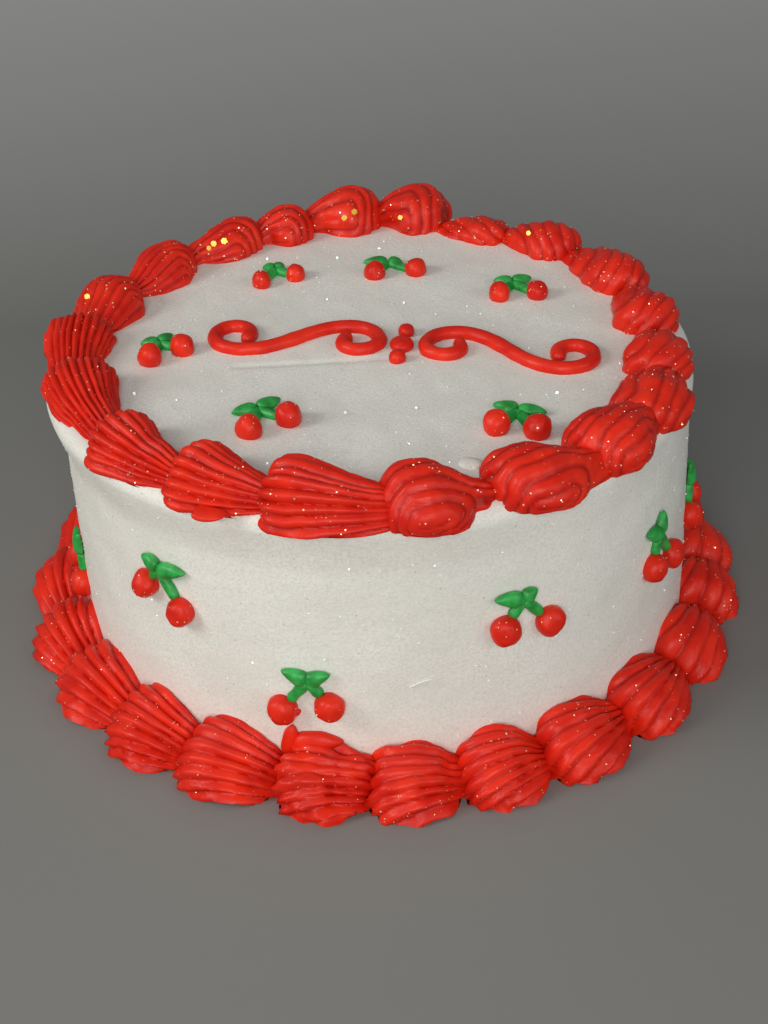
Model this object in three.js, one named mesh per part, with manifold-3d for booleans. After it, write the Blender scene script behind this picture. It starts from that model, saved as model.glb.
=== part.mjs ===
// A mini round cake in smooth white icing, with a shell border piped round its top edge and its foot,
// cherries piped on the top and the wall, and a pair of piped scrolls across the middle of the top.
// Millimetres, +Z up. The origin is the middle of the cake's flat underside, and -Y is the front.

import * as THREE from 'three';
import { mergeVertices } from 'three/addons/utils/BufferGeometryUtils.js';
import Module from 'manifold-3d';

// The iced cake
const CAKE_RADIUS = 60.4;
const CAKE_HEIGHT = 56;
const FOOT_FLARE = 0.8;
const LIP_FLARE = 1.5;
const LIP_DEPTH = 12;
const TOP_EDGE_ROUND = 1.8;
const CAKE_FACETS = 48;

// The cake was iced a little out of upright: its top stands this far to the left of its foot,
// and the lip under the top edge swells out further on that side
const LEAN = 0.8;
const LIP_SHIFT = 1.2;

// Pieces that touch keep this much air between them
const GAP = 0.3;

// The shell borders. Each shell starts at its round head and runs counter-clockwise to a narrow tail
// that the next head covers. A start is the angle of a head in degrees, with -90 at the front.
// The bag was squeezed harder at the front and, for three shells, at the back.
const TOP_BORDER = {
  starts: [
    -126, -109, -89.5, -71, -53.5, -37, -18.5, 1, 20.5, 39.5,
    57.5, 73, 88, 103.5, 116.5, 135, 153.5, 171, 189.5, 210.5,
  ],
  centre: -1.3,
  centreRadius: 55.8,
  centreHeight: CAKE_HEIGHT + 0.6,
  halfWidth: 5.5,
  halfHeight: 5.4,
  squeeze: [{ at: -100, reach: 80, growth: 0.36 }, { at: 89, reach: 18, growth: 0.3 }],
};
const BASE_BORDER = {
  starts: [
    -169, -155, -139.5, -123.5, -107, -93.5, -79.5, -67, -52.5, -37, -18.5, -6, 11,
    27, 43, 59, 75, 91, 107, 123, 139, 155, 173.5,
  ],
  centre: 0,
  centreRadius: 62,
  centreHeight: 1.4,
  halfWidth: 9.8,
  halfHeight: 8.8,
  squeeze: [{ at: -175, reach: 50, growth: 0.08 }],
};
const SHELL_RIDGES = 10;
const RIDGE_DEPTH = 0.07;
const SHELL_STEPS = 6;
const SHELL_CREST = 0.34;
const SHELL_MIDDLE = 8;
const TAIL_SHARE = 0.45;
const TAIL_UNDER_NEXT = 6;
const BORDER_OVERHANG = 1.6;
const SIZE_SPREAD = 0.05;

// Piped cherries: two dots of red icing, and two leaves and two stems in green that meet at a joint.
// Tips are the far ends of the leaves.
// Places are measured from the middle of the line between the dots, whose centres are a spread from it.
// The dots on the top are nearly full balls of unlike sizes. Those on the wall are flatter and more alike.
const TOP_CHERRY = { radius: 2.3, height: 4 };
const SIDE_CHERRY = { radius: 2.7, height: 3.3 };
const CHERRY_FACETS = 8;
const LEAF_WIDTH = 2.5;
const STEM_WIDTH = 2.1;
const GREEN_HEIGHT = 1.8;
const STEM_CLEAR = 0.6;
const TOP_CHERRIES = [
  { x: -40.4, y: -2.4, turn: 30, size: 1.05, spread: 3.4, joint: [0.8, 4.6], tips: [[-2.6, 6], [4.3, 5.8]] },
  { x: -20, y: 28.3, turn: 20, size: 0.88, spread: 3.7, joint: [0.8, 4.6], tips: [[-1.6, 5.9], [3, 5.2]] },
  { x: 4, y: 29.4, turn: 5, size: 0.96, spread: 4.3, joint: [-1, 4.9], tips: [[-6, 5.6], [2, 3.9]] },
  { x: 28.4, y: 17.6, turn: 1, size: 0.93, spread: 3.8, joint: [-0.6, 5.3], tips: [[-4.4, 6.1], [3.4, 6.8]] },
  { x: -19.8, y: -30.1, turn: 29, size: 1.08, spread: 3.9, joint: [0.8, 6], tips: [[-3.9, 7], [5.9, 6.8]] },
  { x: 23.7, y: -34.4, turn: -15, size: 1.1, spread: 3.6, joint: [-1.1, 6.2], tips: [[-5.7, 7.2], [4.2, 6.2]] },
];
const SIDE_CHERRIES = [
  { angle: -129.3, z: 32.6, turn: -19, spread: 4.2, joint: [-2.3, 5.1], tips: [[-6.4, 5.6], [3.2, 8.6]] },
  { angle: -103.8, z: 16.6, turn: 12, spread: 4.3, joint: [1.7, 5.4], tips: [[-2.3, 8.2], [6.2, 6.6]] },
  { angle: -66.4, z: 30.4, turn: -5, spread: 4.3, joint: [-1.2, 5.4], tips: [[-6.7, 6.3], [1.3, 7.2]] },
  { angle: -33, z: 26.6, turn: -12, spread: 4, joint: [-3, 6.4], tips: [[-8.2, 7.4], [-2.8, 11]] },
  { angle: -9, z: 23, turn: 0, spread: 4, joint: [-1.6, 6.2], tips: [[-4, 11.6], [3.8, 8]] },
  { angle: 30, z: 18, turn: 8, spread: 4.2, joint: [0.6, 5.4], tips: [[-4.4, 7.4], [5, 7]] },
  { angle: 72, z: 32, turn: -10, spread: 4.2, joint: [-0.4, 5.2], tips: [[-5.2, 6.4], [4.4, 7.6]] },
  { angle: 111, z: 18, turn: 6, spread: 4.3, joint: [0.2, 5.4], tips: [[-4.6, 7.6], [4.8, 6.4]] },
  { angle: 152, z: 32, turn: -6, spread: 4.2, joint: [-0.8, 5.4], tips: [[-5.6, 6.8], [3.8, 7.8]] },
  { angle: -169, z: 14.2, turn: -8, spread: 4.2, joint: [1.8, 6], tips: [[-3.4, 8], [3.6, 12]] },
];

// The scrolls: each is a double spiral, whose curvature falls evenly from one end to the other
const SCROLL_CENTRE = [4.5, -2];
const SCROLL_TURN = -11;
const SCROLL_LENGTH = 69;
const SCROLL_END_CURVE = 0.38;
const SCROLL_STEPS = 32;
const SCROLL_OFFSET = 20.5;
const SCROLL_WIDTH = 2.8;
const SCROLL_HEIGHT = 2.2;
const SCROLL_DOTS = [{ y: 0, radius: 2.3 }, { y: 5.4, radius: 1.6 }, { y: -5.4, radius: 1.6 }];

const RED_ICING = new THREE.Color(0.8, 0.05, 0.03);
const GREEN_ICING = new THREE.Color(0.03, 0.42, 0.1);
const WHITE_ICING = new THREE.Color(0.86, 0.85, 0.8);

const wasm = await Module();
wasm.setup();

const radians = THREE.MathUtils.degToRad;

function onCircle(radius, angle, z) {
  return new THREE.Vector3(radius * Math.cos(angle), radius * Math.sin(angle), z);
}

// A small seeded generator, so that the shells differ by the same amounts every time
let seed = 7;
function randomSpread(spread) {
  seed = (seed * 16807) % 2147483647;
  return 1 + spread * (2 * (seed / 2147483647) - 1);
}

function toSolid(geometry) {
  const bare = new THREE.BufferGeometry();
  bare.setAttribute('position', geometry.getAttribute('position'));
  bare.setIndex(geometry.getIndex());
  const merged = mergeVertices(bare, 1e-5);
  return new wasm.Manifold(new wasm.Mesh({
    numProp: 3,
    vertProperties: new Float32Array(merged.getAttribute('position').array),
    triVerts: new Uint32Array(merged.getIndex().array),
  }));
}

function toGeometry(solid) {
  const mesh = solid.getMesh();
  const geometry = new THREE.BufferGeometry();
  geometry.setAttribute('position', new THREE.BufferAttribute(new Float32Array(mesh.vertProperties), 3));
  geometry.setIndex(new THREE.BufferAttribute(new Uint32Array(mesh.triVerts), 1));
  geometry.computeVertexNormals();
  return geometry;
}

// Stretches one closed skin over loops of points, and closes both ends at the middle of their loops
function skinOver(loops) {
  const count = loops[0].length;
  const middle = (loop) => loop.reduce((sum, p) => sum.add(p), new THREE.Vector3()).divideScalar(count);
  const points = [...loops.flat(), middle(loops[0]), middle(loops.at(-1))];
  const first = loops.length * count;
  const faces = [];
  for (let k = 0; k < count; k++) {
    const next = (k + 1) % count;
    faces.push(first, next, k);
    faces.push(first + 1, (loops.length - 1) * count + k, (loops.length - 1) * count + next);
    for (let j = 0; j < loops.length - 1; j++) {
      const [a, b, c, d] = [j * count + k, j * count + next, (j + 1) * count + k, (j + 1) * count + next];
      faces.push(a, b, d, a, d, c);
    }
  }
  const geometry = new THREE.BufferGeometry().setFromPoints(points);
  geometry.setIndex(faces);
  return geometry;
}

// The wall stands on a slightly wider foot and swells into a lip under the top edge
function lipShare(z) {
  const rise = THREE.MathUtils.clamp((z - (CAKE_HEIGHT - LIP_DEPTH)) / LIP_DEPTH, 0, 1);
  return rise * rise * (3 - 2 * rise);
}

function wallRadius(z) {
  return CAKE_RADIUS + FOOT_FLARE * (1 - z / CAKE_HEIGHT) ** 2 + LIP_FLARE * lipShare(z);
}

// How far the cake's axis stands to the left at height z
function leanAt(z) {
  return (LEAN * z) / CAKE_HEIGHT + LIP_SHIFT * lipShare(z);
}

function lean(geometry) {
  const place = geometry.getAttribute('position');
  for (let i = 0; i < place.count; i++) {
    place.setX(i, place.getX(i) - leanAt(place.getZ(i)));
  }
  return geometry;
}

// grow moves the whole outline outwards, for cutting neighbours clear of the cake
function cakeGeometry(grow = 0) {
  const edge = CAKE_HEIGHT - TOP_EDGE_ROUND;
  const heights = [0, 14, 30, CAKE_HEIGHT - LIP_DEPTH, edge - 6.5, edge - 3.2, edge];
  const profile = [new THREE.Vector2(0, -grow)];
  for (const z of heights) {
    profile.push(new THREE.Vector2(wallRadius(z) + grow, z === 0 ? -grow : z));
  }
  profile.push(new THREE.Vector2(wallRadius(edge) - TOP_EDGE_ROUND + grow, CAKE_HEIGHT + grow));
  profile.push(new THREE.Vector2(0, CAKE_HEIGHT + grow));
  return new THREE.LatheGeometry(profile, CAKE_FACETS).rotateX(Math.PI / 2);
}

// How full a shell is along its length: a round head, a crest, and a long fall to the tail
function shellFullness(along) {
  if (along < SHELL_CREST) {
    return Math.sqrt(1 - (1 - along / SHELL_CREST) ** 2);
  }
  const fall = (along - SHELL_CREST) / (1 - SHELL_CREST);
  return TAIL_SHARE + (1 - TAIL_SHARE) * 0.5 * (1 + Math.cos(Math.PI * fall));
}

// How much larger a shell is than its border's plain size, by its angle
function squeezeAt(border, angle) {
  return border.squeeze.reduce((size, { at, reach, growth }) => {
    const away = (((angle - at + 540) % 360) - 180) / reach;
    return size + growth * Math.exp(-away * away);
  }, 1);
}

// One shell. Its section is a ring of ridges and grooves that fan out from the tail to the head.
function shellSolid(border, start, end, size) {
  const loops = [];
  for (let step = 1; step <= SHELL_STEPS; step++) {
    const along = (step / SHELL_STEPS) ** 1.6;
    const fullness = size * shellFullness(along);
    const angle = radians(start + (end - start) * along);
    const loop = [];
    for (let k = 0; k < 2 * SHELL_RIDGES; k++) {
      const round = (Math.PI * k) / SHELL_RIDGES;
      const reach = fullness * (1 + (k % 2 === 0 ? RIDGE_DEPTH : -RIDGE_DEPTH));
      const radius = border.centreRadius + reach * border.halfWidth * Math.cos(round);
      const z = border.centreHeight + reach * border.halfHeight * Math.sin(round);
      const point = onCircle(radius, angle, z);
      loop.push(point.setX(point.x + border.centre));
    }
    loops.push(loop.reverse());
  }
  return toSolid(skinOver(loops));
}

function borderGeometry(border, clearOf) {
  const { starts } = border;
  const shells = starts.map((start, i) => {
    const next = i + 1 < starts.length ? starts[i + 1] : starts[0] + 360;
    const size = squeezeAt(border, start + SHELL_MIDDLE) * randomSpread(SIZE_SPREAD);
    return shellSolid(border, start, next + TAIL_UNDER_NEXT, size);
  });
  const ring = shells.reduce((sum, shell) => sum.add(shell));
  // The cut can leave a loose scrap beside the border, which is dropped
  const bodies = ring.subtract(toSolid(clearOf)).decompose();
  bodies.sort((a, b) => b.volume() - a.volume());
  return toGeometry(bodies[0]);
}

// The iced cake with some air round it, on a slab that ends at height z. It cuts a border to fit.
function cakeOnSlab(z) {
  return toGeometry(toSolid(slabUpTo(z)).add(toSolid(lean(cakeGeometry(GAP)))));
}

function slabUpTo(z, radius = 2 * CAKE_RADIUS, thickness = 40) {
  return new THREE.CylinderGeometry(radius, radius, thickness, CAKE_FACETS)
    .rotateX(Math.PI / 2)
    .translate(0, 0, z - thickness / 2);
}

// Where a piped decoration sits: x and y lie along the icing and h stands off it
function placeOnTop({ x, y, turn }) {
  const cos = Math.cos(radians(turn));
  const sin = Math.sin(radians(turn));
  return (u, v, h) => new THREE.Vector3(x + u * cos - v * sin, y + u * sin + v * cos, CAKE_HEIGHT + GAP + h);
}

function placeOnWall({ angle, z: middle, turn }) {
  const cos = Math.cos(radians(turn));
  const sin = Math.sin(radians(turn));
  return (u, v, h) => {
    const z = middle + u * sin + v * cos;
    const radius = wallRadius(z) + GAP + h;
    const point = onCircle(radius, radians(angle) + (u * cos - v * sin) / CAKE_RADIUS, z);
    return point.setX(point.x - leanAt(z));
  };
}

// A dot of icing: widest below its middle, with a round crown
function dotGeometry(place, centre, radius, height) {
  const rings = [[0.8, 0], [1, 0.42], [0.56, 1]];
  const loops = rings.map(([share, level]) => {
    const loop = [];
    for (let k = 0; k < CHERRY_FACETS; k++) {
      const round = (2 * Math.PI * k) / CHERRY_FACETS;
      const [u, v] = [share * radius * Math.cos(round), share * radius * Math.sin(round)];
      loop.push(place(centre[0] + u, centre[1] + v, level * height));
    }
    return loop;
  });
  return skinOver(loops);
}

// A line of icing along points on the surface: a flat foot and a rounded back, narrower at its ends
function lineGeometry(place, points, width, height, endShare) {
  const section = [[-0.5, 0], [0.5, 0], [0.34, 0.9], [-0.34, 0.9]];
  const loops = points.map((point, i) => {
    const before = points[Math.max(0, i - 1)];
    const after = points[Math.min(points.length - 1, i + 1)];
    const along = new THREE.Vector2(after[0] - before[0], after[1] - before[1]).normalize();
    const size = i === 0 || i === points.length - 1 ? endShare : 1;
    return section.map(([side, level]) => {
      const out = side * width * size;
      return place(point[0] - out * along.y, point[1] + out * along.x, level * height * Math.sqrt(size));
    });
  });
  return skinOver(loops);
}

// The green of one pair of cherries: two leaves in one stroke, and a stem down to each dot
function greenGeometry(place, { spread, joint, tips: [left, right] }, cherryRadius) {
  const mix = (a, b, share) => [a[0] + (b[0] - a[0]) * share, a[1] + (b[1] - a[1]) * share];
  const leaves = [left, mix(left, joint, 0.45), joint, mix(right, joint, 0.45), right];
  let green = toSolid(lineGeometry(place, leaves, LEAF_WIDTH, GREEN_HEIGHT, 0.4));
  for (const side of [-1, 1]) {
    const cherry = [side * spread, 0];
    const length = Math.hypot(cherry[0] - joint[0], cherry[1] - joint[1]);
    const end = mix(cherry, joint, (cherryRadius + STEM_CLEAR) / length);
    const stem = [joint, mix(joint, end, 0.6), end];
    green = green.add(toSolid(lineGeometry(place, stem, STEM_WIDTH, GREEN_HEIGHT * 0.85, 0.8)));
  }
  return toGeometry(green);
}

// One double spiral, centred on its middle and lying along u
function scrollPoints(mirror) {
  const step = SCROLL_LENGTH / SCROLL_STEPS;
  const points = [];
  for (let i = 0; i <= SCROLL_STEPS; i++) {
    points.push([0, 0]);
  }
  const half = SCROLL_STEPS / 2;
  for (const side of [-1, 1]) {
    for (let i = 1; i <= half; i++) {
      const distance = (i - 0.5) * step;
      const heading = (SCROLL_END_CURVE * distance * distance) / SCROLL_LENGTH - Math.PI / 4;
      const before = points[half + side * (i - 1)];
      points[half + side * i] = [
        before[0] + side * step * Math.cos(heading),
        before[1] + side * step * Math.sin(heading),
      ];
    }
  }
  return points.map(([u, v]) => [mirror * (u + SCROLL_OFFSET), v]);
}

const icing = (colour) => new THREE.MeshStandardMaterial({ color: colour, roughness: 0.5, metalness: 0 });
const whiteIcing = icing(WHITE_ICING);
const redIcing = icing(RED_ICING);
const greenIcing = icing(GREEN_ICING);

const cake = new THREE.Group();
function add(name, geometry, material) {
  const mesh = new THREE.Mesh(geometry, material);
  mesh.name = name;
  cake.add(mesh);
}

function addCherries(prefix, place, spot, cherry) {
  const { size = 1 } = spot;
  const radius = cherry.radius * size;
  const height = cherry.height * size;
  add(`${prefix}_left`, dotGeometry(place, [-spot.spread, 0], radius, height), redIcing);
  add(`${prefix}_right`, dotGeometry(place, [spot.spread, 0], radius, height), redIcing);
  add(`${prefix}_green`, greenGeometry(place, spot, radius), greenIcing);
}

add('cake_body', lean(cakeGeometry()), whiteIcing);
add('top_border', borderGeometry(TOP_BORDER, cakeOnSlab(CAKE_HEIGHT - BORDER_OVERHANG)), redIcing);
add('base_border', borderGeometry(BASE_BORDER, cakeOnSlab(0)), redIcing);
TOP_CHERRIES.forEach((spot, i) => {
  addCherries(`top_cherries_${i + 1}`, placeOnTop(spot), spot, TOP_CHERRY);
});
SIDE_CHERRIES.forEach((spot, i) => {
  addCherries(`side_cherries_${i + 1}`, placeOnWall(spot), spot, SIDE_CHERRY);
});

const onScrollLine = placeOnTop({ x: SCROLL_CENTRE[0], y: SCROLL_CENTRE[1], turn: SCROLL_TURN });
for (const [name, mirror] of [['scroll_left', -1], ['scroll_right', 1]]) {
  add(name, lineGeometry(onScrollLine, scrollPoints(mirror), SCROLL_WIDTH, SCROLL_HEIGHT, 0.7), redIcing);
}
SCROLL_DOTS.forEach(({ y, radius }, i) => {
  add(`scroll_dot_${i + 1}`, dotGeometry(onScrollLine, [0, y], radius, SCROLL_HEIGHT), redIcing);
});

export default cake;
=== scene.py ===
"""A mini round cake in smooth white icing, with piped red shells round its top edge and its foot,
piped cherries on the top and the wall, and a pair of piped scrolls across the middle of the top.

Shapes are worked out in millimetres, with -Y at the front, and become metres when they are put in a mesh.
"""
import math
from collections import namedtuple

import bpy
import numpy as np
from mathutils import Matrix, Vector


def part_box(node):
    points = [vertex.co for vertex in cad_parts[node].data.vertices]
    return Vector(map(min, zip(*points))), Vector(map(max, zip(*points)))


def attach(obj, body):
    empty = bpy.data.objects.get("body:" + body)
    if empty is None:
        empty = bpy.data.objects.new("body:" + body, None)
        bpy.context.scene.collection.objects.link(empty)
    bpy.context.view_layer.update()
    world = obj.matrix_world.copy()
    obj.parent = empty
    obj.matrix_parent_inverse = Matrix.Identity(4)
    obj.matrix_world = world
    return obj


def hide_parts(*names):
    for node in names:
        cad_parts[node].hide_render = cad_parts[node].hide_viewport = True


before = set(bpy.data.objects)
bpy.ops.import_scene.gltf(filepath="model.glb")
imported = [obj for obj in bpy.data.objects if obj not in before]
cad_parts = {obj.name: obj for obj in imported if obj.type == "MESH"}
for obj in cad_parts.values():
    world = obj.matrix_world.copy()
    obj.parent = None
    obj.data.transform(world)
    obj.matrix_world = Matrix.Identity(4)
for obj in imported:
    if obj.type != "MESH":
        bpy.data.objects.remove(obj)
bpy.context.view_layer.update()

# The iced cake
# Sponge and filling under white buttercream, smoothed with a palette knife on a turntable. The wall
# flares a little at the foot, swells into a soft lip under the top edge, and leans slightly to the left.
MM = 0.001
CAKE_RADIUS = 60.4
CAKE_HEIGHT = 56.0
FOOT_FLARE = 0.8
LIP_FLARE = 1.5
LIP_DEPTH = 12.0
TOP_EDGE_ROUND = 2.8
LEAN = 0.8
LIP_SHIFT = 1.2
CAKE_COLUMNS = 320
FOOT_RINGS = (20.0, 44.0, 57.0)
WALL_ROWS = 76
TOP_ROWS = 88
TOP_MIDDLE_RING = 0.6
ICING_WAVES = [
    # height, length and seed
    (0.22, 46, 1),
    (0.1, 15, 2),
    (0.045, 5, 3),
]
SMOOTH_FOOT = 4.0
KNIFE_CREASE = [(-25.0, -7.6), (4.0, -6.2)]
KNIFE_CREASE_DEPTH = 0.22
KNIFE_CREASE_WIDTH = 0.8
SHARP_EDGE = 75
WHITE_SHADED = (0.80, 0.79, 0.72)
WHITE_BRIGHT = (0.85, 0.845, 0.78)
WHITE_GRAIN = (0.72, 0.71, 0.65)
SPECK_COLOUR = (0.33, 0.32, 0.28)
SPECK_SPACING = 3.2
SPECK_STRENGTH = 0.45


def lip_share(z):
    """0 below the lip, 1 at the top edge, eased at both ends."""
    rise = np.clip((z - (CAKE_HEIGHT - LIP_DEPTH)) / LIP_DEPTH, 0, 1)
    return rise * rise * (3 - 2 * rise)


def wall_radius(z):
    """The wall's radius: a plain radius, a flare that falls with the square of height, and the lip."""
    return CAKE_RADIUS + FOOT_FLARE * (1 - z / CAKE_HEIGHT) ** 2 + LIP_FLARE * lip_share(z)


def lean_at(z):
    """How far the cake's axis stands to the left at height z."""
    return LEAN * z / CAKE_HEIGHT + LIP_SHIFT * lip_share(z)


def waves(points, length, seed, count=14):
    """Smooth unevenness, about -1 to 1: a sum of sine waves near one length in seeded directions."""
    random = np.random.default_rng(seed)
    ways = random.normal(size=(count, 3))
    ways /= np.linalg.norm(ways, axis=1, keepdims=True)
    ways *= 2 * np.pi / (length * random.uniform(0.6, 1.6, (count, 1)))
    starts = random.uniform(0, 2 * np.pi, count)
    return np.sin(points @ ways.T + starts).sum(-1) * 0.7 / math.sqrt(count)


def closed_skin(loops):
    """A closed skin over loops of points: quads between neighbours, and a fan over each end.

    The faces are turned over where the volume that they enclose comes out negative.
    """
    rows, columns = loops.shape[:2]
    points = np.vstack([loops.reshape(-1, 3), loops[0].mean(0), loops[-1].mean(0)])
    grid = np.arange(rows * columns).reshape(rows, columns)
    beside = np.roll(grid, -1, axis=1)
    quads = np.stack([grid[:-1], beside[:-1], beside[1:], grid[1:]], -1).reshape(-1, 4)
    foot, tip = rows * columns, rows * columns + 1
    fans = np.vstack([
        np.stack([np.full(columns, foot), beside[0], grid[0]], -1),
        np.stack([np.full(columns, tip), grid[-1], beside[-1]], -1),
    ])
    corners = np.vstack([quads[:, [0, 1, 2]], quads[:, [0, 2, 3]], fans])
    a, b, c = points[corners[:, 0]], points[corners[:, 1]], points[corners[:, 2]]
    if np.einsum("ij,ij->i", a, np.cross(b, c)).sum() < 0:
        quads, fans = quads[:, ::-1], fans[:, ::-1]
    return points, quads, fans


def piece_of(name, skins, material, **marks):
    """One smooth object from closed skins in millimetres, with a value for each point under each mark."""
    points, faces, first = [], [], 0
    for skin, quads, fans in skins:
        points.append(skin)
        faces += (quads + first).tolist() + (fans + first).tolist()
        first += len(skin)
    mesh = bpy.data.meshes.new(name)
    mesh.from_pydata((np.vstack(points) * MM).tolist(), [], faces)
    mesh.shade_smooth()
    mesh.set_sharp_from_angle(angle=math.radians(SHARP_EDGE))
    for mark, values in marks.items():
        mesh.attributes.new(mark, "FLOAT", "POINT").data.foreach_set("value", np.concatenate(values))
    mesh.materials.append(material)
    piece = bpy.data.objects.new(name, mesh)
    bpy.context.scene.collection.objects.link(piece)
    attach(piece, "root")
    return piece


def cake_section():
    """Half the cake's section as radius and height: out along its foot, up the wall, in over the top."""
    edge = CAKE_HEIGHT - TOP_EDGE_ROUND
    shoulder = wall_radius(edge) - TOP_EDGE_ROUND
    foot = np.column_stack([FOOT_RINGS, np.zeros(len(FOOT_RINGS))])
    heights = np.linspace(0, edge, WALL_ROWS)
    turn = np.radians(np.linspace(12, 84, 7))
    round_edge = [shoulder, edge] + TOP_EDGE_ROUND * np.column_stack([np.cos(turn), np.sin(turn)])
    across = np.linspace(shoulder, TOP_MIDDLE_RING, TOP_ROWS)
    top = np.column_stack([across, np.full_like(across, CAKE_HEIGHT)])
    return np.vstack([foot, np.column_stack([wall_radius(heights), heights]), round_edge, top])


def distance_to_line(x, y, start, end):
    """How far points lie from the straight line between two places."""
    way = np.subtract(end, start)
    along = np.clip(((x - start[0]) * way[0] + (y - start[1]) * way[1]) / (way @ way), 0, 1)
    return np.hypot(x - start[0] - along * way[0], y - start[1] - along * way[1])


def cake_loops():
    """The section turned round the axis, leaned, and pushed in and out by long and short waves."""
    section = cake_section()
    slope = np.gradient(section, axis=0)
    outwards = np.column_stack([slope[:, 1], -slope[:, 0]])
    outwards /= np.linalg.norm(outwards, axis=1, keepdims=True)
    turn = np.linspace(0, 2 * np.pi, CAKE_COLUMNS, endpoint=False)
    around = np.stack([np.cos(turn), np.sin(turn)], -1)
    plain = np.empty((len(section), CAKE_COLUMNS, 3))
    plain[..., :2] = section[:, None, :1] * around
    plain[..., 2] = section[:, 1:]
    push = sum(height * waves(plain, length, seed) for height, length, seed in ICING_WAVES)
    from_crease = distance_to_line(plain[..., 0], plain[..., 1], *KNIFE_CREASE) / KNIFE_CREASE_WIDTH
    push -= KNIFE_CREASE_DEPTH * np.exp(-(from_crease**2)) * (plain[..., 2] > CAKE_HEIGHT - 1)
    push *= np.clip(plain[..., 2] / SMOOTH_FOOT, 0, 1)
    plain[..., :2] += push[..., None] * outwards[:, None, :1] * around
    plain[..., 2] += push * outwards[:, None, 1]
    plain[..., 0] -= lean_at(plain[..., 2])
    return plain


def node_tree(name):
    """A new material, with its nodes, its shader and a link function."""
    material = bpy.data.materials.new(name)
    material.use_nodes = True
    nodes = material.node_tree.nodes
    return material, nodes, nodes["Principled BSDF"], material.node_tree.links.new


def noise(nodes, link, size_mm, detail=3.0):
    """A noise texture on object coordinates, with features of about this size in millimetres."""
    texture = nodes.new("ShaderNodeTexNoise")
    texture.inputs["Scale"].default_value = 1 / (size_mm * MM)
    texture.inputs["Detail"].default_value = detail
    place = nodes.new("ShaderNodeTexCoord")
    link(place.outputs["Object"], texture.inputs["Vector"])
    return texture.outputs["Fac"]


def ranged(nodes, link, value, low, high, new_low=0.0, new_high=1.0):
    """Maps a value's range onto a new one, and stops at the new ends."""
    mapping = nodes.new("ShaderNodeMapRange")
    for socket, number in zip(("From Min", "From Max", "To Min", "To Max"), (low, high, new_low, new_high)):
        mapping.inputs[socket].default_value = number
    link(value, mapping.inputs["Value"])
    return mapping.outputs["Result"]


COLOUR_SOCKETS = (6, 7)
COLOUR_RESULT = 2


def mixed(nodes, link, share, first, second):
    """Two colours mixed by a share. Each is a colour or another node's output."""
    mix = nodes.new("ShaderNodeMix")
    mix.data_type = "RGBA"
    link(share, mix.inputs["Factor"])
    for socket, colour in zip(COLOUR_SOCKETS, (first, second)):
        if isinstance(colour, tuple):
            mix.inputs[socket].default_value = (*colour, 1)
        else:
            link(colour, mix.inputs[socket])
    return mix.outputs[COLOUR_RESULT]


def bumped(nodes, link, shader, height, depth_mm, strength):
    """Fine relief in the shading, on top of the mesh's own."""
    bump = nodes.new("ShaderNodeBump")
    bump.inputs["Strength"].default_value = strength
    bump.inputs["Distance"].default_value = depth_mm * MM
    link(height, bump.inputs["Height"])
    link(bump.outputs["Normal"], shader.inputs["Normal"])


def white_icing_material():
    """Matte buttercream: off-white in soft patches, with a fine sugar grain and a few dark specks."""
    material, nodes, shader, link = node_tree("white_icing")
    patches = ranged(nodes, link, noise(nodes, link, 14), 0.35, 0.65)
    white = mixed(nodes, link, patches, WHITE_SHADED, WHITE_BRIGHT)
    mottle = ranged(nodes, link, noise(nodes, link, 0.5), 0.3, 0.6)
    white = mixed(nodes, link, mottle, WHITE_GRAIN, white)
    speck = nodes.new("ShaderNodeTexVoronoi")
    speck.inputs["Scale"].default_value = 1 / (SPECK_SPACING * MM)
    place = nodes.new("ShaderNodeTexCoord")
    link(place.outputs["Object"], speck.inputs["Vector"])
    in_speck = ranged(nodes, link, speck.outputs["Distance"], 0.05, 0.075, SPECK_STRENGTH, 0)
    white = mixed(nodes, link, in_speck, white, SPECK_COLOUR)
    link(white, shader.inputs["Base Color"])
    link(ranged(nodes, link, noise(nodes, link, 3), 0.3, 0.7, 0.48, 0.62), shader.inputs["Roughness"])
    bumped(nodes, link, shader, noise(nodes, link, 0.5, 4), 0.2, 0.4)
    return material


white_icing = white_icing_material()
cake = piece_of("iced_cake", [closed_skin(cake_loops())], white_icing)
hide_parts("cake_body")

# The border of shells round the top edge
# Stiff red icing, squeezed from a bag with a star nozzle. Each shell is one squeeze: the ridged rope
# swells into a round head, folds or twists over, and is drawn out to a narrow tail under the next one.
ShellKind = namedtuple("ShellKind", "rim tail depth bluntness roundness grooves under_next sink grid")
SHELL_KINDS = {
    # The rim's length, the tail's width and the ridges' depth as shares of half the width, how blunt the
    # rim, how round the sides and how wide the grooves are, how many degrees the tail runs on under the
    # next shell and how far it sinks, and the grid: rows at the rim, rows, columns with ridges, columns
    # underneath. A fold is a fan with a longer rim and a broad tail.
    "fan": ShellKind(0.5, 0.28, 0.115, 0.6, 1.0, 0.65, 6, 2.8, (9, 32, 136, 16)),
    "fold": ShellKind(0.62, 0.42, 0.125, 0.65, 1.3, 0.65, 6, 2.8, (10, 34, 136, 16)),
    "swirl": ShellKind(0.95, 0.3, 0.11, 0.85, 1.3, 0.8, 6, 2.8, (22, 66, 64, 10)),
    "bands": ShellKind(1.0, 0.05, 0.12, 0.9, 1.6, 0.6, 6, 2.8, (22, 66, 64, 10)),
    "scallop": ShellKind(0.8, 0.22, 0.13, 0.7, 1.8, 0.6, 2.2, 0, (14, 31, 118, 16)),
}
RIM_START_TURN = 5
RIDGED_TO = 128
UNDER_FADE = 30
UNDER_FADE_START = 0.3
TAIL_FADE = 0.7
TAIL_FADE_START = 0.85
TAIL_FADE_PACE = 3
RIM_TEETH = 0.7
TOOTH_STEP = 1.4
TOOTH_SHARE = 0.8
TOOTH_RISE = 0.7
TOOTH_FALL = 0.3
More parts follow.
